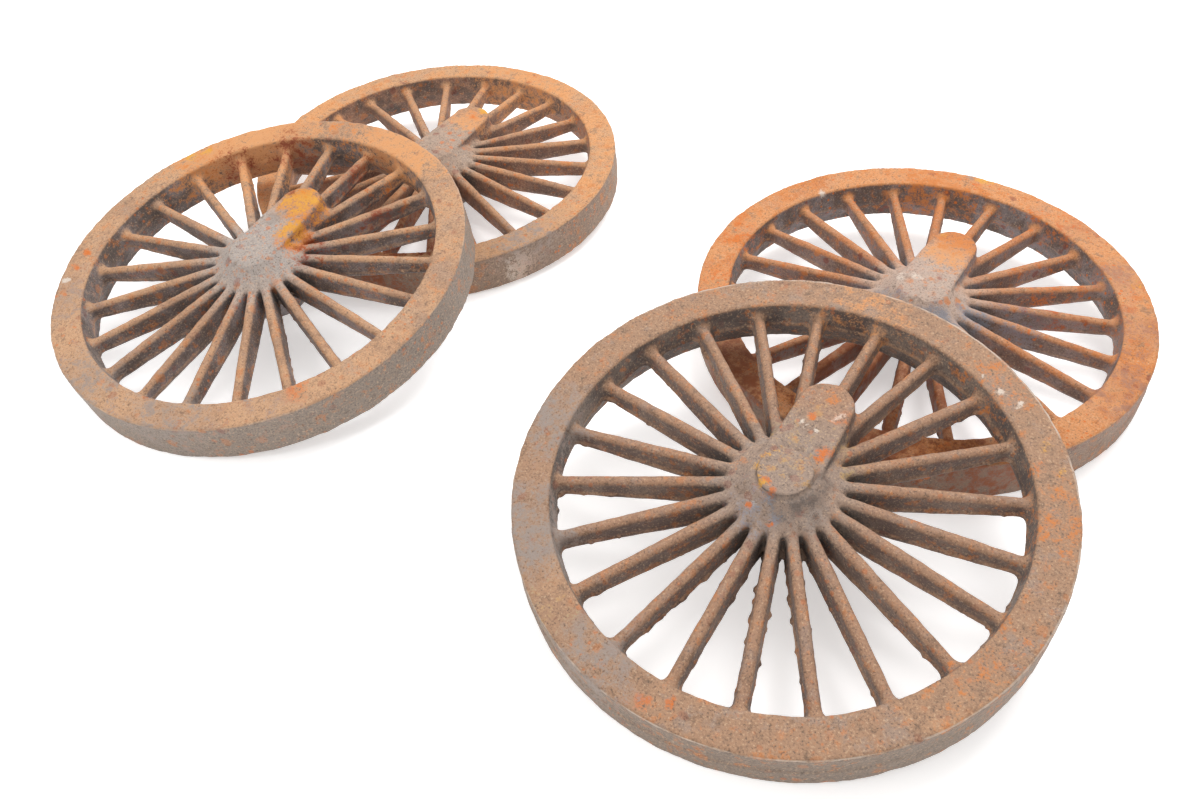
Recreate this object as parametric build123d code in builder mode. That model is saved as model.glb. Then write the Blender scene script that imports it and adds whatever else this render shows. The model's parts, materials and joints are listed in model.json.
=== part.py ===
"""Four raw cast-iron driving-wheel castings for a model steam locomotive.

The castings lie in two pairs. In each pair one wheel lies on the floor, rocked on the back
of its hub, and a second wheel has one edge on the floor and its crank boss on the first.
Millimetres, +Z up. The floor is Z = 0 and the origin is the middle of the set's footprint.
"""
import math
import os

from build123d import *

# ---- driving dimensions of one casting ----------------------------------------------
# A casting's own frame has its axis on Z, and Z = 0 in the plane of the rim's back face.
WHEEL_RADIUS = 135.0
RIM_WIDTH = 26.7                         # along the axis
RIM_EDGE_BREAK = 0.8
PARTING_HEIGHT = RIM_WIDTH / 2           # where the two halves of the mould met
RIM_BORE_FRONT = 0.859 * WHEEL_RADIUS    # the rim's inner wall is drafted both ways
RIM_BORE_PARTING = 0.842 * WHEEL_RADIUS
RIM_BORE_BACK = 0.872 * WHEEL_RADIUS

SPOKE_COUNT = 22
SPOKE_WIDTH_HUB = 7.2
SPOKE_WIDTH_RIM = 6.5
SPOKE_FRONT_HUB = 27.8                   # heights of the spoke's front and back ridges
SPOKE_FRONT_RIM = 20.5
SPOKE_BACK_HUB = 7.6
SPOKE_BACK_RIM = 10.1
SPOKE_START = 0.16 * WHEEL_RADIUS        # buried in the hub
SPOKE_END = 0.90 * WHEEL_RADIUS          # buried in the rim

# The hub and the crank boss stand out at the front, and as far out at the back.
BOSS_HALF_DEPTH = 21.65                  # either way from the parting plane
BOSS_FRONT = PARTING_HEIGHT + BOSS_HALF_DEPTH
BOSS_BACK = PARTING_HEIGHT - BOSS_HALF_DEPTH
HUB_ROOT_RADIUS = 0.205 * WHEEL_RADIUS   # where the spokes leave the hub
HUB_ROOT_FRONT = 27.5
HUB_ROOT_BACK = 8.0
HUB_FRONT_RADIUS = 0.118 * WHEEL_RADIUS
HUB_BACK_RADIUS = 0.16 * WHEEL_RADIUS
FACING_RADIUS = 0.102 * WHEEL_RADIUS     # raised disc that a lathe would clean up
FACING_DRAFT = 20.0                      # degrees
CRANK_THROW = 0.34 * WHEEL_RADIUS        # hub centre to crank-pin centre
CRANK_END_RADIUS = 0.105 * WHEEL_RADIUS
CRANK_DRAFT = 6.0                        # degrees

# ---- how the four castings lie ---------------------------------------------------------
# centre: x and y of the middle of the rim's back face. low_side: heading of the rim's
# lowest point, which is on the floor. crank: heading of the crank before the wheel is
# tilted. facing: height of the hub's facing above the crank's face. tilt: slope, in
# degrees, of a wheel whose crank boss rests on the rim of the wheel below; it leaves
# 0.3 mm between the two.
CASTINGS = {
    "right_lying_wheel": dict(centre=(205.4, -22.6), low_side=263.1, crank=51.3, facing=1.0),
    "right_leaning_wheel": dict(
        centre=(95.5, -181.4), low_side=244.8, crank=54.8, facing=1.6, tilt=10.98),
    "left_lying_wheel": dict(centre=(-105.0, 184.2), low_side=253.6, crank=57.4, facing=0.6),
    "left_leaning_wheel": dict(
        centre=(-203.4, 38.1), low_side=240.4, crank=57.0, facing=0.6, tilt=11.82),
}


def lying_tilt():
    """Slope, in degrees, of a wheel that rests on its rim's edge and its hub's back edge."""
    reach = WHEEL_RADIUS - RIM_EDGE_BREAK - HUB_BACK_RADIUS
    return math.degrees(math.atan2(-BOSS_BACK, reach))


def resting_place(centre, low_side, tilt, crank):
    """Where a casting lies: its rim's lowest edge is on the floor, towards low_side."""
    heading = math.radians(low_side)
    tilt_axis = (-math.sin(heading), math.cos(heading), 0)
    height = (WHEEL_RADIUS - RIM_EDGE_BREAK) * math.sin(math.radians(tilt))
    return Location((*centre, height), tilt_axis, tilt) * Location((0, 0, 0), crank)


def spoke_size(at_hub, at_rim, reach):
    """A spoke's dimension at a distance from the axis, on a straight taper."""
    share = (reach - HUB_ROOT_RADIUS) / (RIM_BORE_PARTING - HUB_ROOT_RADIUS)
    return at_hub + (at_rim - at_hub) * share


# ---- features that every casting shares ---------------------------------------------
with BuildPart() as spoke:
    for reach in (SPOKE_START, SPOKE_END):
        front = spoke_size(SPOKE_FRONT_HUB, SPOKE_FRONT_RIM, reach)
        back = spoke_size(SPOKE_BACK_HUB, SPOKE_BACK_RIM, reach)
        width = spoke_size(SPOKE_WIDTH_HUB, SPOKE_WIDTH_RIM, reach)
        with BuildSketch(Plane.YZ.offset(reach)):
            with Locations((0, (front + back) / 2)):
                SlotOverall(front - back, width, rotation=90)
    loft()

with BuildPart() as crank_boss:
    for face, inwards in ((BOSS_FRONT, -1), (BOSS_BACK, 1)):
        with BuildSketch(Plane.XY.offset(face)):
            Circle(HUB_FRONT_RADIUS)
            with Locations((CRANK_THROW, 0)):
                Circle(CRANK_END_RADIUS)
            make_hull()
        extrude(amount=BOSS_HALF_DEPTH, dir=(0, 0, inwards), taper=-CRANK_DRAFT)


def casting(facing):
    """One wheel in its own frame, with its crank along +X."""
    with BuildPart() as wheel:
        with BuildSketch(Plane.XZ):
            with BuildLine():
                Polyline(
                    (RIM_BORE_BACK, 0),
                    (WHEEL_RADIUS - RIM_EDGE_BREAK, 0),
                    (WHEEL_RADIUS, RIM_EDGE_BREAK),
                    (WHEEL_RADIUS, RIM_WIDTH - RIM_EDGE_BREAK),
                    (WHEEL_RADIUS - RIM_EDGE_BREAK, RIM_WIDTH),
                    (RIM_BORE_FRONT, RIM_WIDTH),
                    (RIM_BORE_PARTING, PARTING_HEIGHT),
                    close=True,
                )
            make_face()
        revolve(axis=Axis.Z)
        with BuildSketch(Plane.XZ):
            with BuildLine():
                Polyline(
                    (0, BOSS_BACK),
                    (HUB_BACK_RADIUS, BOSS_BACK),
                    (HUB_ROOT_RADIUS, HUB_ROOT_BACK),
                    (HUB_ROOT_RADIUS, HUB_ROOT_FRONT),
                    (HUB_FRONT_RADIUS, BOSS_FRONT),
                    (0, BOSS_FRONT),
                    close=True,
                )
            make_face()
        revolve(axis=Axis.Z)
        with PolarLocations(0, SPOKE_COUNT):
            add(spoke.part)
        add(crank_boss.part)
        with BuildSketch(Plane.XY.offset(BOSS_FRONT)):
            Circle(FACING_RADIUS)
        extrude(amount=facing, taper=FACING_DRAFT)
    return wheel.part


# ---- the set -------------------------------------------------------------------------
os.makedirs("parts", exist_ok=True)
for name, rest in CASTINGS.items():
    tilt = rest.get("tilt", lying_tilt())
    with BuildPart() as piece:
        with Locations(resting_place(rest["centre"], rest["low_side"], tilt, rest["crank"])):
            add(casting(rest["facing"]))
    piece.part.label = name
    export_step(piece.part, f"parts/{name}.step")
    print(name, "tilt", round(tilt, 3), "volume", round(piece.part.volume))
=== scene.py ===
import json
import math

import bpy
import numpy as np
from mathutils import Matrix, Vector


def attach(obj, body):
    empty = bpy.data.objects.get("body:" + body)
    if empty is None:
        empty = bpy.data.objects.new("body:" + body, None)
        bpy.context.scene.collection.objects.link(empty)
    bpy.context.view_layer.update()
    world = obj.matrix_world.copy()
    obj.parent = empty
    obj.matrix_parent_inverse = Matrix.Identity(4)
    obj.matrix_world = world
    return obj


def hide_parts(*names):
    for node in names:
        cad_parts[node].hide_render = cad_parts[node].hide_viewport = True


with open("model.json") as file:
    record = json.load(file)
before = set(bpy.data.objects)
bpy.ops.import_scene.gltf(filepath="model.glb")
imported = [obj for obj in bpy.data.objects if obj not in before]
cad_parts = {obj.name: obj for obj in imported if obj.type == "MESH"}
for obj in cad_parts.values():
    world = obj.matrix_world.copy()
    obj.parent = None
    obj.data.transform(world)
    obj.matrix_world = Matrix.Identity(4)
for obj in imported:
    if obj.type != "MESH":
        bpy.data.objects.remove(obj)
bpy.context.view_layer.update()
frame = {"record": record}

# ---- one casting, in millimetres, in its own frame --------------------------------------
# The axis is Z, Z = 0 is the rim's back face, and the crank lies along +X.
WHEEL_RADIUS = 135.0
RIM_WIDTH = 26.7
PARTING = RIM_WIDTH / 2
BORE_FRONT = 0.859 * WHEEL_RADIUS
BORE_PARTING = 0.842 * WHEEL_RADIUS
BORE_BACK = 0.872 * WHEEL_RADIUS
SPOKE_COUNT = 22
SPOKE_WIDTH = (7.2, 6.5)          # at the hub, at the rim
SPOKE_FRONT = (27.8, 20.5)
SPOKE_BACK = (7.6, 10.1)
SPOKE_DRAFT = 0.05                # how much a side leans in, per mm from the parting
HUB_ROOT_RADIUS = 0.205 * WHEEL_RADIUS
HUB_ROOT_FRONT = 25.0
HUB_ROOT_BACK = 8.0
HUB_FRONT_RADIUS = 0.118 * WHEEL_RADIUS
HUB_BACK_RADIUS = 0.16 * WHEEL_RADIUS
BOSS_FRONT = 35.0
BOSS_BACK = -8.3
FACING_RADIUS = 0.102 * WHEEL_RADIUS
CRANK_THROW = 0.34 * WHEEL_RADIUS
CRANK_END_RADIUS = 0.105 * WHEEL_RADIUS
CRANK_DRAFT = math.tan(math.radians(6.0))

# Rounding of the corners and fillets that the mould leaves.
RIM_EDGE = 1.1
BOSS_EDGE = 1.8
BOSS_BACK_EDGE = 2.0
HUB_SHOULDER = 4.0
HUB_FOOT = 3.0
HUB_FRONT_EDGE = 2.5
HUB_FILLET = 4.6
BOSS_FILLET = 2.0
CROTCH_FILLET = 2.2
RIM_FILLET = 5.0
CRISP_EDGE = 0.9                  # the facing disc's corner, where it is crisp or worn
WORN_EDGE = 3.0
CRISP_FILLET = 0.7
WORN_FILLET = 2.5
FACING_ROOT = 6.0                 # how far the disc reaches down into the hub
GROOVE_OFFSET = 1.4               # a groove round a crisp disc
GROOVE_RADIUS = 1.5

# What the sand mould leaves on the skin.
SPOKE_TURN = 0.0035               # spread of the spokes' headings, radians
SPOKE_SWELL = 0.025               # spread of their widths, as a share
SEAM_HALF_WIDTH = 0.85
SLIP_DEPTH = 0.5                  # height over which the two halves' offset blends
LUMP_SIZES = ((14.0, 0.16), (5.5, 0.14), (2.6, 0.10))  # spacing and height

CELL = (1.56, 1.56, 1.18)


def between(ends, share):
    return ends[0] + (ends[1] - ends[0]) * share


def smooth_max(a, b, size):
    near = np.maximum(size - np.abs(a - b), 0) / size
    return np.maximum(a, b) + near * near * size / 4


def smooth_min(a, b, size):
    return -smooth_max(-a, -b, size)


class Lumps:
    """Smooth seeded noise in space, from -1 to 1, on a lattice with a given spacing."""

    def __init__(self, seed, spacing):
        self.spacing = spacing
        self.table = np.random.default_rng(seed).uniform(-1, 1, 32 ** 3)

    def __call__(self, x, y, z):
        low, share = [], []
        for value in (x, y, z):
            scaled = value / self.spacing + 512
            floor = np.floor(scaled)
            part = scaled - floor
            low.append(floor.astype(np.int64))
            share.append(part * part * (3 - 2 * part))
        total = 0
        for corner in range(8):
            step = (corner & 1, corner >> 1 & 1, corner >> 2)
            weight = 1
            place = 0
            for axis in range(3):
                weight = weight * (share[axis] if step[axis] else 1 - share[axis])
                place = place * 32 + (low[axis] + step[axis]) % 32
            total = total + weight * self.table[place]
        return total


def slope_distance(reach, z, start, end):
    """Distance outside the straight line from start to end in the (reach, z) half-plane."""
    run = end[0] - start[0]
    rise = end[1] - start[1]
    length = math.hypot(run, rise)
    return ((reach - start[0]) * rise - (z - start[1]) * run) / length


def rim_field(reach, z):
    ring = smooth_max(smooth_max(z - RIM_WIDTH, -z, RIM_EDGE), reach - WHEEL_RADIUS, RIM_EDGE)
    for face, bore in ((RIM_WIDTH, BORE_FRONT), (0.0, BORE_BACK)):
        wall = slope_distance(reach, z, (BORE_PARTING, PARTING), (bore, face))
        ring = smooth_max(ring, -wall if face > PARTING else wall, RIM_EDGE)
    return ring


def one_spoke(reach, off, z, swell):
    along = reach * np.cos(off)
    across = np.abs(reach * np.sin(off))
    share = (along - HUB_ROOT_RADIUS) / (BORE_PARTING - HUB_ROOT_RADIUS)
    half = between(SPOKE_WIDTH, share) * swell / 2
    front = between(SPOKE_FRONT, share) - half
    back = between(SPOKE_BACK, share) + half
    half_here = half - SPOKE_DRAFT * np.abs(z - PARTING)
    beyond = z - np.clip(z, back, front)
    return np.hypot(across, beyond) - half_here


def spoke_field(reach, heading, z, turns, swells):
    pitch = 2 * math.pi / SPOKE_COUNT
    number = np.round(heading / pitch)
    off = heading - number * pitch
    index = number.astype(int) % SPOKE_COUNT
    side = np.where(off < 0, -1, 1)
    other = (index + side) % SPOKE_COUNT
    nearest = one_spoke(reach, off - turns[index], z, swells[index])
    next_one = one_spoke(reach, off - side * pitch - turns[other], z, swells[other])
    spokes = smooth_min(nearest, next_one, CROTCH_FILLET)
    return np.maximum(spokes, reach - 0.93 * WHEEL_RADIUS)


def hub_field(reach, z):
    cone = slope_distance(
        reach, z, (HUB_ROOT_RADIUS, HUB_ROOT_FRONT), (HUB_FRONT_RADIUS, BOSS_FRONT))
    foot = slope_distance(
        reach, z, (HUB_BACK_RADIUS, BOSS_BACK), (HUB_ROOT_RADIUS, HUB_ROOT_BACK))
    body = smooth_max(reach - HUB_ROOT_RADIUS, cone, HUB_SHOULDER)
    body = smooth_max(body, foot, HUB_FOOT)
    body = smooth_max(body, z - BOSS_FRONT, HUB_FRONT_EDGE)
    return smooth_max(body, BOSS_BACK - z, BOSS_BACK_EDGE)


def crank_field(x, y, z):
    """A drafted boss round the hub and the crank-pin, with flat ends."""
    grown = CRANK_DRAFT * (BOSS_FRONT - PARTING - np.abs(z - PARTING))
    lean = (HUB_FRONT_RADIUS - CRANK_END_RADIUS) / CRANK_THROW
    square = math.sqrt(1 - lean * lean)
    aside = np.abs(y)
    turn = x * square - aside * lean
    beside = aside * square + x * lean - HUB_FRONT_RADIUS
    at_hub = np.hypot(x, y) - HUB_FRONT_RADIUS
    at_pin = np.hypot(x - CRANK_THROW, y) - CRANK_END_RADIUS
    past_pin = turn > square * square * CRANK_THROW
    outline = np.where(turn < 0, at_hub, np.where(past_pin, at_pin, beside))
    body = smooth_max(outline - grown, z - BOSS_FRONT, BOSS_EDGE)
    return smooth_max(body, BOSS_BACK - z, BOSS_BACK_EDGE)


def facing_field(reach, z, height, crisp):
    crown = 0.0 if crisp else 1.0
    top = BOSS_FRONT + height - crown * (reach / FACING_RADIUS) ** 2 + crown * 0.3
    wall = smooth_max(reach - FACING_RADIUS, z - top, CRISP_EDGE if crisp else WORN_EDGE)
    return np.maximum(wall, BOSS_FRONT - FACING_ROOT - z)


def casting_field(seed, facing, crisp, flash, slip):
    """The casting as a function that is negative inside the iron. slip is how far, and which
    way from the crank, the front half of the mould lay off its place."""
    slip_x = slip[0] * math.cos(math.radians(slip[1]))
    slip_y = slip[0] * math.sin(math.radians(slip[1]))
    rng = np.random.default_rng(seed)
    turns = rng.normal(0, SPOKE_TURN, SPOKE_COUNT)
    swells = 1 + rng.normal(0, SPOKE_SWELL, SPOKE_COUNT)
    lumps = [(Lumps(seed + 1 + i, size), height) for i, (size, height) in enumerate(LUMP_SIZES)]
    ragged = Lumps(seed + 4, 3.2)
    patchy = Lumps(seed + 5, 30.0)

    def field(x, y, z):
        half = np.tanh((z - PARTING) / SLIP_DEPTH)
        x = x - slip_x * half
        y = y - slip_y * half
        reach = np.hypot(x, y)
        heading = np.arctan2(y, x)
        iron = smooth_min(hub_field(reach, z), crank_field(x, y, z), BOSS_FILLET)
        spokes = spoke_field(reach, heading, z, turns, swells)
        iron = smooth_min(iron, spokes, HUB_FILLET)
        iron = smooth_min(iron, rim_field(reach, z), RIM_FILLET)
        disc = facing_field(reach, z, facing, crisp)
        iron = smooth_min(iron, disc, CRISP_FILLET if crisp else WORN_FILLET)
        if crisp:
            off_groove = reach - FACING_RADIUS - GROOVE_OFFSET
            groove = np.hypot(off_groove, (z - BOSS_FRONT - 0.5) * 1.2)
            iron = smooth_max(iron, GROOVE_RADIUS - groove, 0.8)
        seam = np.exp(-((z - PARTING) / SEAM_HALF_WIDTH) ** 2) * (reach < WHEEL_RADIUS - 4)
        burr = np.maximum(ragged(x, y, z) + 0.55 * patchy(x, y, z) - 0.35, 0)
        iron = iron - seam * (0.15 + 0.2 * flash + flash * burr)
        for lump, lump_height in lumps:
            iron = iron + lump_height * lump(x, y, z)
        return iron

    return field


# ---- a skin over the field, by dual contouring ---------------------------------------------
def contour(field, low, high, cell):
    """Vertices and quads of the surface where the field is 0."""
    cell = np.array(cell)
    counts = np.ceil((high - low) / cell).astype(int) + 1
    lines = [low[i] + cell[i] * np.arange(counts[i]) for i in range(3)]
    x, y, z = np.meshgrid(*lines, indexing="ij", sparse=True)
    values = field(x, y, z)
    inside = values < 0
    cells = counts - 1

    def cell_number(index):
        return (index[:, 0] * cells[1] + index[:, 1]) * cells[2] + index[:, 2]

    points, rings, keep_order = [], [], []
    for axis in range(3):
        a = [slice(None)] * 3
        b = [slice(None)] * 3
        a[axis] = slice(0, -1)
        b[axis] = slice(1, None)
        first, second = values[tuple(a)], values[tuple(b)]
        index = np.argwhere(inside[tuple(a)] != inside[tuple(b)])
        start = first[tuple(index.T)]
        stop = second[tuple(index.T)]
        place = index.astype(float)
        place[:, axis] += start / (start - stop)
        points.append(low + place * cell)
        u = np.eye(3, dtype=int)[(axis + 1) % 3]
        v = np.eye(3, dtype=int)[(axis + 2) % 3]
        corners = ((1, 1), (0, 1), (0, 0), (1, 0))
        around = [cell_number(index - du * u - dv * v) for du, dv in corners]
        rings.append(np.stack(around, 1))
        keep_order.append(start < 0)
    points = np.concatenate(points)
    rings = np.concatenate(rings)
    keep_order = np.concatenate(keep_order)

    step = 0.12
    slope = np.zeros_like(points)
    for corner in ((1, 1, 1), (1, -1, -1), (-1, 1, -1), (-1, -1, 1)):
        shifted = points + step * np.array(corner)
        slope += field(*shifted.T)[:, None] * np.array(corner)
    slope /= np.linalg.norm(slope, axis=1, keepdims=True)

    used, where = np.unique(rings.ravel(), return_inverse=True)
    where = where.reshape(rings.shape)
    total = len(used)
    owner = where.ravel()
    repeated = np.repeat(points, 4, axis=0)
    normals = np.repeat(slope, 4, axis=0)

    def gather(value):
        return np.bincount(owner, value, total)

    number = gather(np.ones(len(owner)))
    middle = np.stack([gather(repeated[:, i]) for i in range(3)], 1) / number[:, None]
    off_plane = np.einsum("ij,ij->i", normals, repeated - middle[owner])
    matrix = np.empty((total, 3, 3))
    side = np.empty((total, 3))
    for i in range(3):
        side[:, i] = gather(normals[:, i] * off_plane)
        for j in range(3):
            matrix[:, i, j] = gather(normals[:, i] * normals[:, j])
    matrix += 0.06 * number[:, None, None] * np.eye(3)
    moved = np.linalg.solve(matrix, side[:, :, None])[:, :, 0]
    corner = np.stack(np.unravel_index(used, cells), 1) * cell + low
    vertices = np.clip(middle + moved, corner - 0.1 * cell, corner + 1.1 * cell)
    quads = np.where(keep_order[:, None], where, where[:, ::-1])
    return vertices, quads


def casting_mesh(name, field, place):
    margin = 2.5
    low = np.array([-WHEEL_RADIUS - margin, -WHEEL_RADIUS - margin, BOSS_BACK - margin])
    high = np.array([WHEEL_RADIUS + margin, WHEEL_RADIUS + margin, BOSS_FRONT + 2 * margin])
    vertices, quads = contour(field, low, high, CELL)
    mesh = bpy.data.meshes.new(name)
    mesh.from_pydata((vertices / 1000).tolist(), [], quads.tolist())
    mesh.polygons.foreach_set("use_smooth", np.ones(len(quads), bool))
    mesh.transform(place)
    mesh.update()
    return mesh


# ---- materials ------------------------------------------------------------------------------
def paint(red, green, blue, share=1.0):
    """A colour given as it looks on a screen, from 0 to 255, made linear and scaled."""
    linear = []
    for value in (red, green, blue):
        v = value / 255
        linear.append(share * (v / 12.92 if v <= 0.04045 else ((v + 0.055) / 1.055) ** 2.4))
    return (*linear, 1.0)


class Coat:
    """Adds nodes to one material, and links them by name of input."""

    def __init__(self, name, place):
        self.material = bpy.data.materials.new(name)
        self.material.use_nodes = True
        self.tree = self.material.node_tree
        self.shader = self.tree.nodes["Principled BSDF"]
        coordinates = self.tree.nodes.new("ShaderNodeTexCoord")
        own_frame = self.tree.nodes.new("ShaderNodeMapping")
        own_frame.vector_type = "TEXTURE"
        self.put(own_frame.inputs["Vector"], coordinates.outputs["Object"])
        self.put(own_frame.inputs["Location"], place.translation)
        self.put(own_frame.inputs["Rotation"], place.to_euler())
        self.place = own_frame.outputs["Vector"]
        axis = self.tree.nodes.new("ShaderNodeVectorMath")
        axis.operation = "DOT_PRODUCT"
        self.put(axis.inputs[0], coordinates.outputs["Normal"])
        self.put(axis.inputs[1], place.to_3x3().col[2])
        self.facing_up = axis.outputs["Value"]

    def put(self, socket, value):
        if isinstance(value, bpy.types.NodeSocket):
            self.tree.links.new(value, socket)
        else:
            socket.default_value = value

    def math(self, operation, a, b=0.0, clamp=False):
        node = self.tree.nodes.new("ShaderNodeMath")
        node.operation = operation
        node.use_clamp = clamp
        self.put(node.inputs[0], a)
        self.put(node.inputs[1], b)
        return node.outputs[0]

    def noise(self, millimetres, detail=3.0, roughness=0.55, seed=0.0, place=None):
        node = self.tree.nodes.new("ShaderNodeTexNoise")
        node.noise_dimensions = "4D"
        self.put(node.inputs["Vector"], place or self.place)
        self.put(node.inputs["W"], seed)
        self.put(node.inputs["Scale"], 1000.0 / millimetres)
        self.put(node.inputs["Detail"], detail)
        self.put(node.inputs["Roughness"], roughness)
        return node.outputs["Fac"]

    def flecks(self, millimetres):
        """Distance from scattered points, in cells."""
        node = self.tree.nodes.new("ShaderNodeTexVoronoi")
        self.put(node.inputs["Vector"], self.place)
        self.put(node.inputs["Scale"], 1000.0 / millimetres)
        return node.outputs["Distance"]

    def bold(self, value, factor):
        """Noise with its contrast raised about 0.5."""
        return self.math("ADD", self.math("MULTIPLY", value, factor), 0.5 - 0.5 * factor)

    def ramp(self, value, start, end):
        """0 below start and 1 above end, or the reverse where end is lower."""
        node = self.tree.nodes.new("ShaderNodeMapRange")
        node.interpolation_type = "SMOOTHSTEP"
        low, high = min(start, end), max(start, end)
        self.put(node.inputs["Value"], value)
        self.put(node.inputs["From Min"], low)
        self.put(node.inputs["From Max"], high)
        self.put(node.inputs["To Min"], 0.0 if start <= end else 1.0)
        self.put(node.inputs["To Max"], 1.0 if start <= end else 0.0)
        return node.outputs["Result"]

    def mix(self, share, a, b):
        node = self.tree.nodes.new("ShaderNodeMix")
        node.data_type = "RGBA"
        self.put(node.inputs["Factor"], share)
        self.put(node.inputs[6], a)
        self.put(node.inputs[7], b)
        return node.outputs[2]

    def distance(self, point, place=None):
        node = self.tree.nodes.new("ShaderNodeVectorMath")
        node.operation = "DISTANCE"
        self.put(node.inputs[0], place or self.place)
        self.put(node.inputs[1], point)
        return node.outputs["Value"]

    def split(self, vector):
        node = self.tree.nodes.new("ShaderNodeSeparateXYZ")
        self.put(node.inputs[0], vector)
        return node.outputs

    def wobble(self, millimetres, amount, seed):
        """The place, pushed about by noise, so that a patch has a ragged outline."""
        node = self.tree.nodes.new("ShaderNodeTexNoise")
        self.put(node.inputs["Vector"], self.place)
        self.put(node.inputs["Scale"], 1000.0 / millimetres)
        self.put(node.inputs["Detail"], 4.0)
        shift = self.tree.nodes.new("ShaderNodeVectorMath")
        shift.operation = "MULTIPLY_ADD"
        self.put(shift.inputs[0], node.outputs["Color"])
        self.put(shift.inputs[1], (amount, amount, amount))
        add = self.tree.nodes.new("ShaderNodeVectorMath")
        add.operation = "ADD"
        self.put(shift.inputs[2], (-amount / 2, -amount / 2, -amount / 2))
        self.put(add.inputs[0], self.place)
        self.put(add.inputs[1], shift.outputs["Vector"])
        return add.outputs["Vector"]


# Colours that a raw casting goes through as it rusts.
IRON_GREY = paint(158, 146, 138, 0.84)
PALE_GREY = paint(186, 173, 164, 0.86)
SCALE_BLUE = paint(142, 144, 152, 0.84)
DARK_SCALE = paint(88, 76, 66, 0.84)
# Dark grey painted as shade on the walls.
PAINTED_SHADE_GREY = paint(82, 78, 78, 0.84)
TAN = paint(208, 162, 124, 0.84)
RUST_TAN = paint(226, 160, 104, 0.86)
ORANGE = paint(216, 130, 62, 0.84)
BRIGHT_ORANGE = paint(224, 118, 40, 0.82)
DEEP_RED = paint(146, 62, 40, 0.80)
YELLOW = paint(236, 172, 62, 0.80)
PALE = paint(236, 220, 204, 0.80)
GRAIN = paint(236, 200, 164, 0.82)
SMUT = paint(112, 88, 70, 0.84)
OCHRE = paint(196, 164, 112, 0.84)
DARK_BROWN_GREY = paint(112, 100, 92, 0.84)
DUSK = paint(172, 124, 100, 0.84)
# Dark rust deepened as painted shade, for parts that lie under another casting.
SHADED_RUST = paint(150, 82, 46, 0.80)

FRONT = RIM_WIDTH
CRANK_TOP = BOSS_FRONT
INKS = {
    "orange": BRIGHT_ORANGE,
    "rust": ORANGE,
    "red": DEEP_RED,
    "yellow": YELLOW,
    "pale": PALE,
    "grey": IRON_GREY,
    "blue": SCALE_BLUE,
    "tan": TAN,
    "glow": RUST_TAN,
    "ochre": OCHRE,
    "dark_brown_grey": DARK_BROWN_GREY,
    "dusk": DUSK,
    "shaded_rust": SHADED_RUST,
}


# Kinds of spot: spacing in mm, colour, how rare, strength.
SPOTS = (
    (6.0, BRIGHT_ORANGE, 0.52, 0.8),
    (10.0, ORANGE, 0.48, 0.7),
    (9.0, DEEP_RED, 0.50, 0.6),
    (3.4, BRIGHT_ORANGE, 0.52, 0.9),
)


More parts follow.
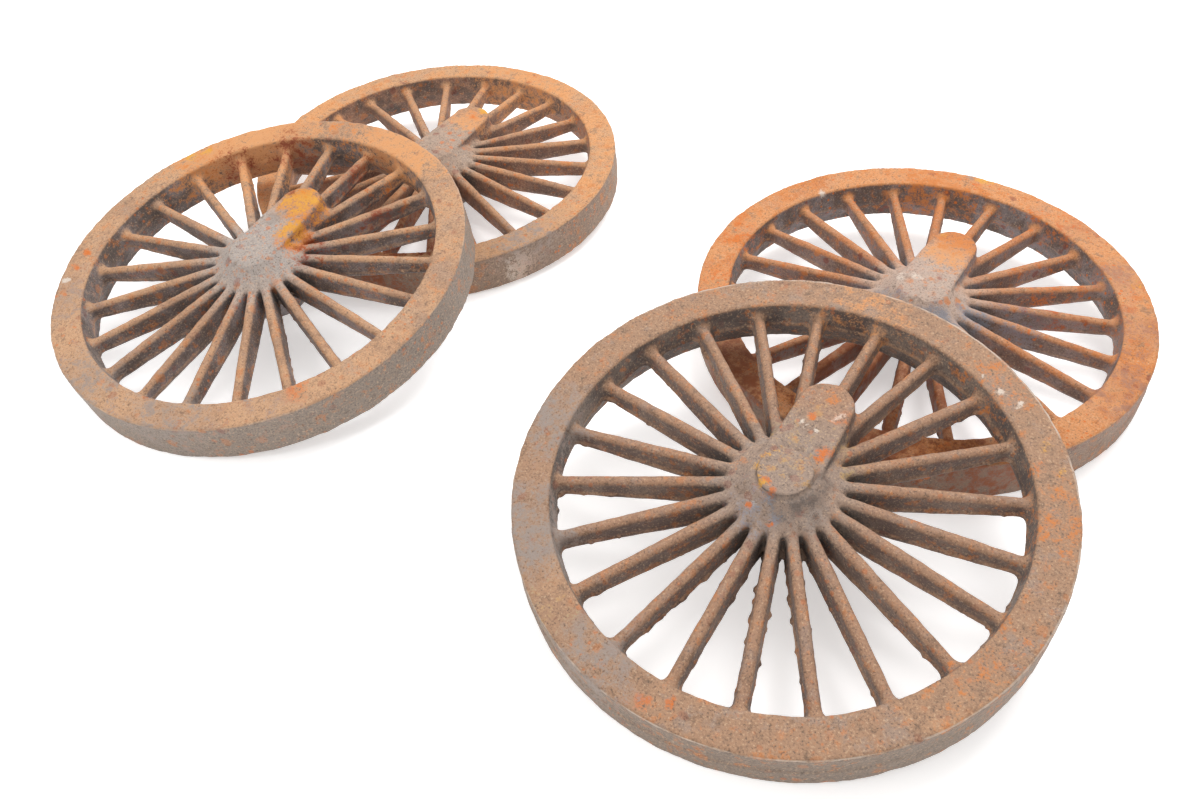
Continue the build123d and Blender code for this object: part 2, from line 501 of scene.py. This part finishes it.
def casting_coat(name, place, seed, body, film, film_share, hub, hub_share, side, inside,
                 ridge, red, greyed, specks, edge, patches):
    """Rusted raw iron, with painted shade on its walls and a painted highlight along the rim's
    front corner. body and film are the two colours that cloud over each other, hub is the colour
    round the hub, side that of the tread and inside that of the other walls, each partly the
    wall's own colour and partly painted shade. The rest are shares: ridge of brown along the
    spokes, red of dark red on the inner walls, greyed of grey clouds, specks of small spots, and
    edge of a bright line along the rim's front corner, partly wear and partly painted highlight.
    A patch is (ink, degrees from the crank, reach in radii, height in mm, size in mm, strength)."""
    coat = Coat(name, place)
    parts = coat.split(coat.place)
    flat = coat.tree.nodes.new("ShaderNodeCombineXYZ")
    coat.put(flat.inputs[0], parts[0])
    coat.put(flat.inputs[1], parts[1])
    from_axis = coat.distance((0, 0, 0), flat.outputs[0])

    broad = coat.noise(70, 3, 0.6, seed)
    clouds = coat.noise(22, 5, 0.68, seed + 3)
    mottle = coat.noise(6.0, 5, 0.72, seed + 5)
    sand = coat.noise(1.15, 3, 0.75, seed + 7)
    grit = coat.noise(0.62, 2, 0.7, seed + 9)

    # Clouds of rust over the skin.
    cloudy = coat.math("ADD", coat.math("MULTIPLY", broad, 0.45), coat.math("MULTIPLY", clouds, 0.4))
    cloudy = coat.math("ADD", cloudy, coat.math("MULTIPLY", mottle, 0.35))
    cover = coat.ramp(cloudy, 0.60 - 0.16 * (film_share - 0.5), 0.74 - 0.3 * (film_share - 0.5))
    cover = coat.math("MULTIPLY", cover, min(1.0, film_share + 0.3), True)
    colour = coat.mix(cover, body, film)
    blooms = coat.math("ADD", coat.noise(17, 4, 0.65, seed + 19), coat.math("MULTIPLY", mottle, 0.5))
    colour = coat.mix(coat.math("MULTIPLY", coat.ramp(blooms, 0.77, 0.88), greyed), colour, IRON_GREY)

    # Grey skin is left round the hub.
    bare = coat.math("ADD", from_axis, coat.math("MULTIPLY", coat.noise(14, 4, 0.6, seed + 11), 0.03))
    bare = coat.math("MULTIPLY", coat.ramp(bare, 0.072, 0.034), hub_share)
    colour = coat.mix(bare, colour, hub)

    # Painted shade: walls and back-facing surfaces are made darker than front faces, standing in for the
    # shade on them.
    wall = coat.ramp(coat.facing_up, 0.75, 0.15)
    outside = coat.ramp(from_axis, 0.128, 0.133)
    painted_shade_share = coat.math("MULTIPLY", wall, 0.92)
    inner = coat.math("MULTIPLY", painted_shade_share, coat.math("SUBTRACT", 1.0, outside))
    # Painted shade on the tread, in the side colour.
    colour = coat.mix(coat.math("MULTIPLY", painted_shade_share, outside), colour, side)
    # Painted shade on the inner walls: dark grey clouding into the inside colour, with dark red rust
    # laid over it.
    shade_and_rust_tint = coat.mix(coat.ramp(clouds, 0.40, 0.64), PAINTED_SHADE_GREY, inside)
    red_wall = coat.math("MULTIPLY", coat.ramp(clouds, 0.56, 0.66), coat.ramp(mottle, 0.42, 0.60))
    shade_and_rust_tint = coat.mix(coat.math("MULTIPLY", red_wall, red), shade_and_rust_tint, DEEP_RED)
    colour = coat.mix(inner, colour, shade_and_rust_tint)

    # Spokes are a little darker than the rim.
    along_spoke = coat.ramp(from_axis, 0.034, 0.046)
    along_spoke = coat.math("MULTIPLY", along_spoke, coat.ramp(from_axis, 0.116, 0.108))
    colour = coat.mix(coat.math("MULTIPLY", along_spoke, ridge), colour, DUSK)

    # A thin painted highlight along the mould's parting line on the inner walls, where its flash ridge
    # catches light.
    off_seam = coat.math("ABSOLUTE", coat.math("SUBTRACT", parts[2], PARTING / 1000))
    fin_highlight = coat.math("MULTIPLY", coat.ramp(off_seam, 0.0011, 0.0004), coat.ramp(clouds, 0.42, 0.60))
    fin_highlight = coat.math("MULTIPLY", coat.math("MULTIPLY", fin_highlight, inner), 0.6)
    colour = coat.mix(fin_highlight, colour, TAN)

    # Mottling, then single grains.
    colour = coat.mix(coat.math("MULTIPLY", coat.ramp(mottle, 0.53, 0.66), 0.60), colour, ORANGE)
    colour = coat.mix(coat.math("MULTIPLY", coat.ramp(mottle, 0.47, 0.33), 0.55), colour, SMUT)
    colour = coat.mix(coat.math("MULTIPLY", coat.ramp(sand, 0.54, 0.68), 0.55), colour, GRAIN)
    colour = coat.mix(coat.math("MULTIPLY", coat.ramp(sand, 0.47, 0.33), 0.75), colour, DARK_SCALE)

    # Small orange and red spots, in some places more than in others.
    rough = coat.math("MULTIPLY", coat.bold(mottle, 3.2), 0.25)
    for size, ink, low, strength in SPOTS:
        spread = 1 + 0.01 * seed
        off_spot = coat.math("ADD", coat.flecks(size * spread), rough)
        gate = coat.ramp(coat.noise(45, 2, 0.5, seed + size), low, low + 0.10)
        spot = coat.math("MULTIPLY", coat.ramp(off_spot, 0.37, 0.27), gate)
        colour = coat.mix(coat.math("MULTIPLY", spot, specks * strength), colour, ink)

    # A bright line along the rim's front corner: partly bare metal showing through, partly a painted
    # highlight where the corner catches light.
    off_corner = coat.math("ABSOLUTE", coat.math("SUBTRACT", from_axis, WHEEL_RADIUS / 1000))
    off_front = coat.math("ABSOLUTE", coat.math("SUBTRACT", parts[2], RIM_WIDTH / 1000))
    wear_and_highlight_line = coat.ramp(off_corner, 0.0011, 0.0006)
    wear_and_highlight_line = coat.math("MULTIPLY", wear_and_highlight_line, coat.ramp(off_front, 0.0011, 0.0006))
    wear_and_highlight_gate = coat.math("MULTIPLY", coat.ramp(clouds, 0.40, 0.55), edge)
    wear_and_highlight_line = coat.math("MULTIPLY", wear_and_highlight_line, wear_and_highlight_gate)
    colour = coat.mix(wear_and_highlight_line, colour, PALE)

    # Patches at known places.
    rough_place = coat.wobble(7.0, 0.010, seed)
    crumbs = coat.math("MULTIPLY", coat.bold(mottle, 2.6), 0.6)
    crumbs = coat.math("ADD", crumbs, coat.math("MULTIPLY", coat.bold(sand, 2.0), 0.4))
    for ink, heading, reach, height, size, strength in patches:
        turn = math.radians(heading)
        arm = reach * WHEEL_RADIUS / 1000
        point = (arm * math.cos(turn), arm * math.sin(turn), height / 1000)
        reach_out = size / 1000
        near = coat.ramp(coat.distance(point, rough_place), reach_out * 1.2, reach_out * 0.2)
        value = coat.math("ADD", crumbs, coat.math("MULTIPLY", near, 0.62 * strength))
        share = coat.math("MULTIPLY", coat.ramp(value, 0.78, 1.16), coat.ramp(near, 0.0, 0.2))
        colour = coat.mix(coat.math("MULTIPLY", share, 0.9), colour, INKS[ink])

    coat.put(coat.shader.inputs["Base Color"], colour)
    gloss = coat.math("ADD", coat.math("MULTIPLY", mottle, 0.35), 0.46)
    gloss = coat.math("ADD", gloss, coat.math("MULTIPLY", cover, 0.12), True)
    coat.put(coat.shader.inputs["Roughness"], gloss)
    coat.shader.inputs["Metallic"].default_value = 0.0
    coat.shader.inputs["Specular IOR Level"].default_value = 0.45

    height = coat.math("ADD", coat.math("MULTIPLY", sand, 0.55), coat.math("MULTIPLY", grit, 0.30))
    height = coat.math("ADD", height, coat.math("MULTIPLY", mottle, 0.55))
    bump = coat.tree.nodes.new("ShaderNodeBump")
    bump.inputs["Strength"].default_value = 0.9
    bump.inputs["Distance"].default_value = 0.0012
    coat.put(bump.inputs["Height"], height)
    coat.put(coat.shader.inputs["Normal"], bump.outputs["Normal"])
    return coat.material


# ---- the four castings ----------------------------------------------------------------------
mounts = {m["name"]: m for m in frame["record"]["mounts"]}


def resting_place(which):
    """The casting's own frame in the row frame, from its two flat faces."""
    facing = Vector(mounts[which + "_facing"]["pos_m"])
    pin = Vector(mounts[which + "_crank_face"]["pos_m"])
    axis = Vector(mounts[which + "_crank_face"]["axis"]).normalized()
    arm = pin - facing
    arm = (arm - axis * arm.dot(axis)).normalized()
    origin = pin - axis * (BOSS_FRONT / 1000) - arm * (CRANK_THROW / 1000)
    side = axis.cross(arm)
    matrix = Matrix((arm, side, axis)).transposed().to_4x4()
    matrix.translation = origin
    return matrix


def facing_height(which):
    facing = Vector(mounts[which + "_facing"]["pos_m"])
    pin = Vector(mounts[which + "_crank_face"]["pos_m"])
    axis = Vector(mounts[which + "_crank_face"]["axis"]).normalized()
    return (facing - pin).dot(axis) * 1000


LOOKS = {
    "right_leaning": dict(
        seed=11, crisp=True, flash=1.9, slip=(0.4, -10),
        body=paint(178, 138, 108, 0.84), film=TAN, film_share=0.5, hub=IRON_GREY, hub_share=0.6,
        side=paint(138, 122, 108, 0.84), inside=paint(138, 126, 116, 0.84),
        ridge=0.2, red=0.1, greyed=0.45, specks=0.45, edge=0.55,
        patches=[
            ("ochre", 0, 0.20, CRANK_TOP, 34, 0.5),
            ("rust", -2, 0.378, CRANK_TOP, 5.5, 0.9),
            ("orange", 4, 0.269, CRANK_TOP, 5.5, 0.85),
            ("orange", -15, 0.326, CRANK_TOP, 9, 0.75),
            ("pale", -13, 0.320, CRANK_TOP, 5, 0.8),
            ("orange", -30, 0.170, CRANK_TOP, 7.0, 0.95),
            ("orange", -34, 0.135, CRANK_TOP, 4.5, 0.7),
            ("pale", 12, 0.245, CRANK_TOP, 3.2, 1.0),
            ("pale", 4, 0.226, CRANK_TOP, 3.2, 1.0),
            ("pale", -5, 0.212, CRANK_TOP, 3.0, 0.9),
            ("pale", 163, 0.164, 31, 6.0, 0.7),
            ("ochre", 0, 0.0, CRANK_TOP + 1.5, 17, 0.5),
            ("yellow", 40, 0.093, CRANK_TOP + 1.5, 5, 0.7),
            ("yellow", 70, 0.095, CRANK_TOP + 1.5, 5, 0.7),
            ("yellow", 100, 0.098, CRANK_TOP + 1.5, 4.5, 0.9),
            ("yellow", 122, 0.10, CRANK_TOP + 1.5, 4.0, 0.8),
            ("yellow", 145, 0.098, CRANK_TOP + 1.5, 4.5, 0.9),
            ("yellow", -100, 0.090, CRANK_TOP + 1.5, 5.0, 0.7),
            ("orange", 150, 0.075, CRANK_TOP + 1.5, 5.0, 0.8),
            ("orange", 175, 0.09, CRANK_TOP + 1.5, 4.5, 0.9),
            # Darker grey-brown on the hub round the facing disc, on the side away from the crank.
            ("dark_brown_grey", -165, 0.13, 34, 13, 0.7),
            ("dark_brown_grey", -135, 0.135, 34, 13, 0.8),
            ("dark_brown_grey", -105, 0.135, 34, 13, 0.8),
            ("dark_brown_grey", -75, 0.14, 33, 11, 0.7),
            ("dark_brown_grey", -130, 0.19, 29, 20, 0.55),
            ("blue", 140, 0.18, 30, 18, 0.6),
            ("blue", 175, 0.19, 30, 20, 0.65),
            ("orange", 162, 0.175, 31, 3.6, 1.0),
            ("orange", -170, 0.20, 29, 3.6, 1.0),
            ("ochre", -26, 0.26, 25, 11, 0.7),
            ("ochre", -52, 0.24, 25, 11, 0.7),
            ("ochre", 30, 0.24, 26, 11, 0.6),
            ("glow", 5, 0.93, FRONT, 60, 0.55),
            ("rust", -35, 0.93, FRONT, 40, 0.55),
            ("rust", -70, 0.93, FRONT, 40, 0.6),
            ("rust", -110, 0.93, FRONT, 46, 0.5),
            ("orange", 178, 0.95, FRONT, 7, 0.75),
            ("orange", -177, 0.91, FRONT, 6, 0.75),
            ("grey", 165, 0.93, FRONT, 44, 0.7),
            ("grey", 130, 0.93, FRONT, 50, 0.8),
            ("grey", 100, 0.93, FRONT, 44, 0.75),
            ("grey", 20, 0.93, FRONT, 22, 0.4),
            ("ochre", 150, 0.96, FRONT, 24, 0.5),
            ("pale", -30, 0.89, FRONT, 3.0, 0.9),
            ("pale", -36, 0.90, FRONT, 4.5, 0.9),
            ("pale", -41, 0.925, FRONT, 3.5, 1.0),
            ("yellow", -53, 0.94, FRONT, 5, 0.7),
            ("yellow", -60, 0.96, FRONT, 4, 0.7),
            ("orange", -58, 0.90, FRONT, 9, 0.6),
        ]),
    "right_lying": dict(
        seed=23, crisp=False, flash=0.8, slip=(0.25, 120),
        body=paint(224, 152, 94, 0.84), film=ORANGE, film_share=0.7, hub=PALE_GREY, hub_share=0.8,
        side=paint(142, 122, 108, 0.84), inside=paint(150, 150, 156, 0.84),
        ridge=0.35, red=0.7, greyed=0.15, specks=1.0, edge=0.1,
        patches=[
            ("dusk", -28, 0.93, FRONT, 30, 0.65),
            ("dusk", -48, 0.89, FRONT, 30, 0.75),
            ("dusk", -72, 0.90, FRONT, 40, 0.75),
            ("dusk", -95, 0.92, FRONT, 40, 0.7),
            ("orange", -59, 0.94, FRONT, 44, 0.5),
            ("orange", -20, 0.95, FRONT, 44, 0.55),
            ("rust", 20, 0.93, FRONT, 60, 0.7),
            ("orange", 92, 0.94, FRONT, 40, 0.6),
            ("orange", 118, 0.92, FRONT, 40, 0.6),
            ("yellow", -66, 0.94, FRONT, 12, 0.5),
            ("yellow", -52, 0.97, FRONT, 9, 0.5),
            ("glow", 0, 0.27, CRANK_TOP, 26, 0.9),
            ("rust", 0, 0.38, CRANK_TOP, 22, 0.85),
            ("yellow", 14, 0.42, CRANK_TOP, 8, 0.75),
            ("yellow", -12, 0.43, CRANK_TOP, 7, 0.65),
            ("pale", 60, 0.054, CRANK_TOP + 1, 6, 0.75),
            ("pale", 92, 0.10, CRANK_TOP, 6, 0.75),
            ("pale", 53, 0.704, 22, 5.0, 1.3),
            ("pale", 58, 0.866, FRONT, 4.5, 1.1),
            ("yellow", 6, 0.985, FRONT, 8, 0.9),
            ("grey", 10, 0.97, FRONT, 8, 0.7),
            ("blue", 150, 0.22, 26, 24, 1.0),
            ("blue", -140, 0.22, 26, 26, 0.9),
            ("blue", -90, 0.26, 24, 22, 0.8),
            ("blue", -75, 0.45, 14, 34, 0.7),
            ("red", -64, 0.60, 20, 46, 0.5),
            ("orange", -48, 0.62, 21, 44, 0.62),
            ("orange", 110, 0.60, 22, 40, 0.5),
            # Painted shade: dark rust where the leaning casting above shades this one.
            ("shaded_rust", 150, 0.93, FRONT, 60, 0.95),
            ("shaded_rust", -170, 0.93, 20, 60, 0.95),
            ("shaded_rust", -140, 0.95, 20, 50, 0.8),
            ("shaded_rust", 175, 0.55, 20, 60, 0.9),
            ("shaded_rust", -145, 0.55, 20, 50, 0.8),
        ]),
    "left_leaning": dict(
        seed=37, crisp=False, flash=1.0, slip=(0.25, 60),
        body=paint(190, 146, 112, 0.84), film=TAN, film_share=0.85,
        hub=paint(182, 170, 162, 0.84), hub_share=1.0,
        side=paint(144, 133, 123, 0.84), inside=paint(140, 134, 136, 0.84),
        ridge=0.1, red=0.35, greyed=0.25, specks=0.6, edge=0.2,
        patches=[
            ("glow", 45, 0.95, FRONT + 14, 90, 1.15),
            ("glow", -10, 0.95, FRONT + 12, 70, 1.0),
            ("rust", 60, 0.93, FRONT, 50, 0.55),
            ("rust", 10, 0.93, FRONT, 44, 0.5),
            ("rust", -4, 0.34, CRANK_TOP, 28, 1.0),
            ("grey", 10, 0.21, CRANK_TOP, 12, 0.8),
            ("yellow", -2, 0.35, CRANK_TOP, 24, 0.85),
            ("orange", 4, 0.42, CRANK_TOP, 14, 0.6),
            ("rust", -38, 0.20, 31, 24, 0.95),
            ("orange", -42, 0.21, 30, 18, 0.8),
            ("yellow", -30, 0.19, 33, 17, 0.85),
            ("red", 14, 0.40, CRANK_TOP, 7, 0.8),
            ("red", -50, 0.25, 27, 20, 0.75),
            ("red", -72, 0.24, 27, 14, 0.65),
            ("red", 51, 0.85, 15, 26, 0.75),
            ("red", 30, 0.85, 15, 34, 0.75),
            ("red", -5, 0.72, 18, 34, 0.7),
            ("red", -30, 0.60, 18, 30, 0.65),
            ("orange", -22, 0.70, 20, 26, 0.5),
            ("yellow", 63, 0.975, FRONT, 8, 0.95),
            ("yellow", 58, 0.955, FRONT, 6.5, 0.9),
            ("pale", 121, 0.96, FRONT, 4.5, 1.1),
            ("orange", 116, 0.95, FRONT, 6, 0.9),
            ("orange", 110, 0.93, FRONT, 5, 0.8),
            ("orange", -128, 0.89, FRONT, 14, 0.85),
            ("yellow", -165, 0.93, FRONT, 12, 0.5),
            ("grey", 130, 0.93, FRONT, 44, 0.55),
            ("grey", 165, 0.93, FRONT, 54, 0.7),
            ("grey", -165, 0.93, FRONT, 54, 0.7),
            ("grey", -135, 0.93, FRONT, 40, 0.5),
        ]),
    "left_lying": dict(
        seed=51, crisp=False, flash=0.8, slip=(0.25, 150),
        body=paint(212, 160, 116, 0.84), film=RUST_TAN, film_share=0.75,
        hub=paint(172, 158, 147, 0.84), hub_share=0.8,
        side=paint(142, 120, 104, 0.84), inside=paint(176, 134, 112, 0.84),
        ridge=0.3, red=0.5, greyed=0.2, specks=0.7, edge=0.1,
        patches=[
            ("glow", 0, 0.93, FRONT, 80, 0.8),
            ("rust", 0, 0.93, FRONT, 60, 0.45),
            ("glow", -5, 0.30, CRANK_TOP, 24, 0.9),
            ("orange", -5, 0.36, CRANK_TOP, 14, 0.6),
            ("yellow", -6, 0.42, CRANK_TOP, 8, 1.0),
            ("pale", -120, 1.0, 11, 22, 0.8),
            ("rust", -118, 1.0, 11, 22, 0.6),
            ("grey", -115, 0.93, FRONT, 50, 0.7),
            # Painted shade: dark rust and dark red where the leaning casting above shades this one.
            ("shaded_rust", -165, 0.93, 20, 60, 0.85),
            ("shaded_rust", 165, 0.93, 20, 60, 0.85),
            ("shaded_rust", -150, 0.58, 20, 60, 0.85),
            ("red", -150, 0.70, 18, 50, 0.6),
        ]),
}
for which, look in LOOKS.items():
    field = casting_field(look["seed"], facing_height(which), look["crisp"], look["flash"], look["slip"])
    place = resting_place(which)
    mesh = casting_mesh(which + "_casting", field, place)
    piece = bpy.data.objects.new(which + "_casting", mesh)
    bpy.context.scene.collection.objects.link(piece)
    coat_facts = {k: v for k, v in look.items() if k not in ("crisp", "flash", "slip")}
    mesh.materials.append(casting_coat("iron_" + which, place, **coat_facts))
    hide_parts(which + "_wheel")
    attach(piece, which)

# ---- floor, light and camera ----------------------------------------------------------------
floor_mesh = bpy.data.meshes.new("floor")
FLOOR_HALF = 6.0
corners = [(-FLOOR_HALF, -FLOOR_HALF, 0), (FLOOR_HALF, -FLOOR_HALF, 0)]
corners += [(FLOOR_HALF, FLOOR_HALF, 0), (-FLOOR_HALF, FLOOR_HALF, 0)]
floor_mesh.from_pydata(corners, [], [(0, 1, 2, 3)])
floor = bpy.data.objects.new("floor", floor_mesh)
bpy.context.scene.collection.objects.link(floor)
floor_coat = bpy.data.materials.new("floor_white")
floor_coat.use_nodes = True
floor_shader = floor_coat.node_tree.nodes["Principled BSDF"].inputs
floor_shader["Base Color"].default_value = (0.9, 0.9, 0.9, 1)
floor_shader["Roughness"].default_value = 0.9
floor_shader["Emission Color"].default_value = (1, 1, 1, 1)
floor_shader["Emission Strength"].default_value = 0.42
floor_mesh.materials.append(floor_coat)

world = bpy.data.worlds.new("room")
bpy.context.scene.world = world
world.use_nodes = True
sky = world.node_tree.nodes["Background"].inputs
sky["Color"].default_value = (1.0, 1.0, 1.0, 1)
sky["Strength"].default_value = 0.75


def softbox(name, place, size, power):
    """A square light that points at the middle of the set."""
    light = bpy.data.lights.new(name, "AREA")
    light.shape = "SQUARE"
    light.size = size
    light.energy = power
    lamp = bpy.data.objects.new(name, light)
    lamp.location = place
    aim = -Vector(place)
    lamp.rotation_euler = aim.to_track_quat("-Z", "Y").to_euler()
    bpy.context.scene.collection.objects.link(lamp)


softbox("key_softbox", (0.9, 0.9, 1.9), 1.2, 35)
softbox("fill_softbox", (-1.3, -0.4, 1.6), 1.4, 12)

CAMERA_PLACE = (0.00643, -0.53069, 0.42819)
CAMERA_PITCH = math.radians(42.402)
CAMERA_ROLL = math.radians(-3.414)
look_dir = Vector((0, math.cos(CAMERA_PITCH), -math.sin(CAMERA_PITCH)))
flat_right = Vector((1, 0, 0))
flat_up = flat_right.cross(look_dir)
right = math.cos(CAMERA_ROLL) * flat_right + math.sin(CAMERA_ROLL) * flat_up
up = -math.sin(CAMERA_ROLL) * flat_right + math.cos(CAMERA_ROLL) * flat_up
camera_data = bpy.data.cameras.new("camera")
camera_data.sensor_width = 36.0
camera_data.lens = 31.41
camera_data.clip_start = 0.01
camera = bpy.data.objects.new("camera", camera_data)
turn = Matrix((right, up, -look_dir)).transposed().to_4x4()
turn.translation = Vector(CAMERA_PLACE)
camera.matrix_world = turn
bpy.context.scene.collection.objects.link(camera)
bpy.context.scene.camera = camera
bpy.context.scene.view_settings.view_transform = "Standard"
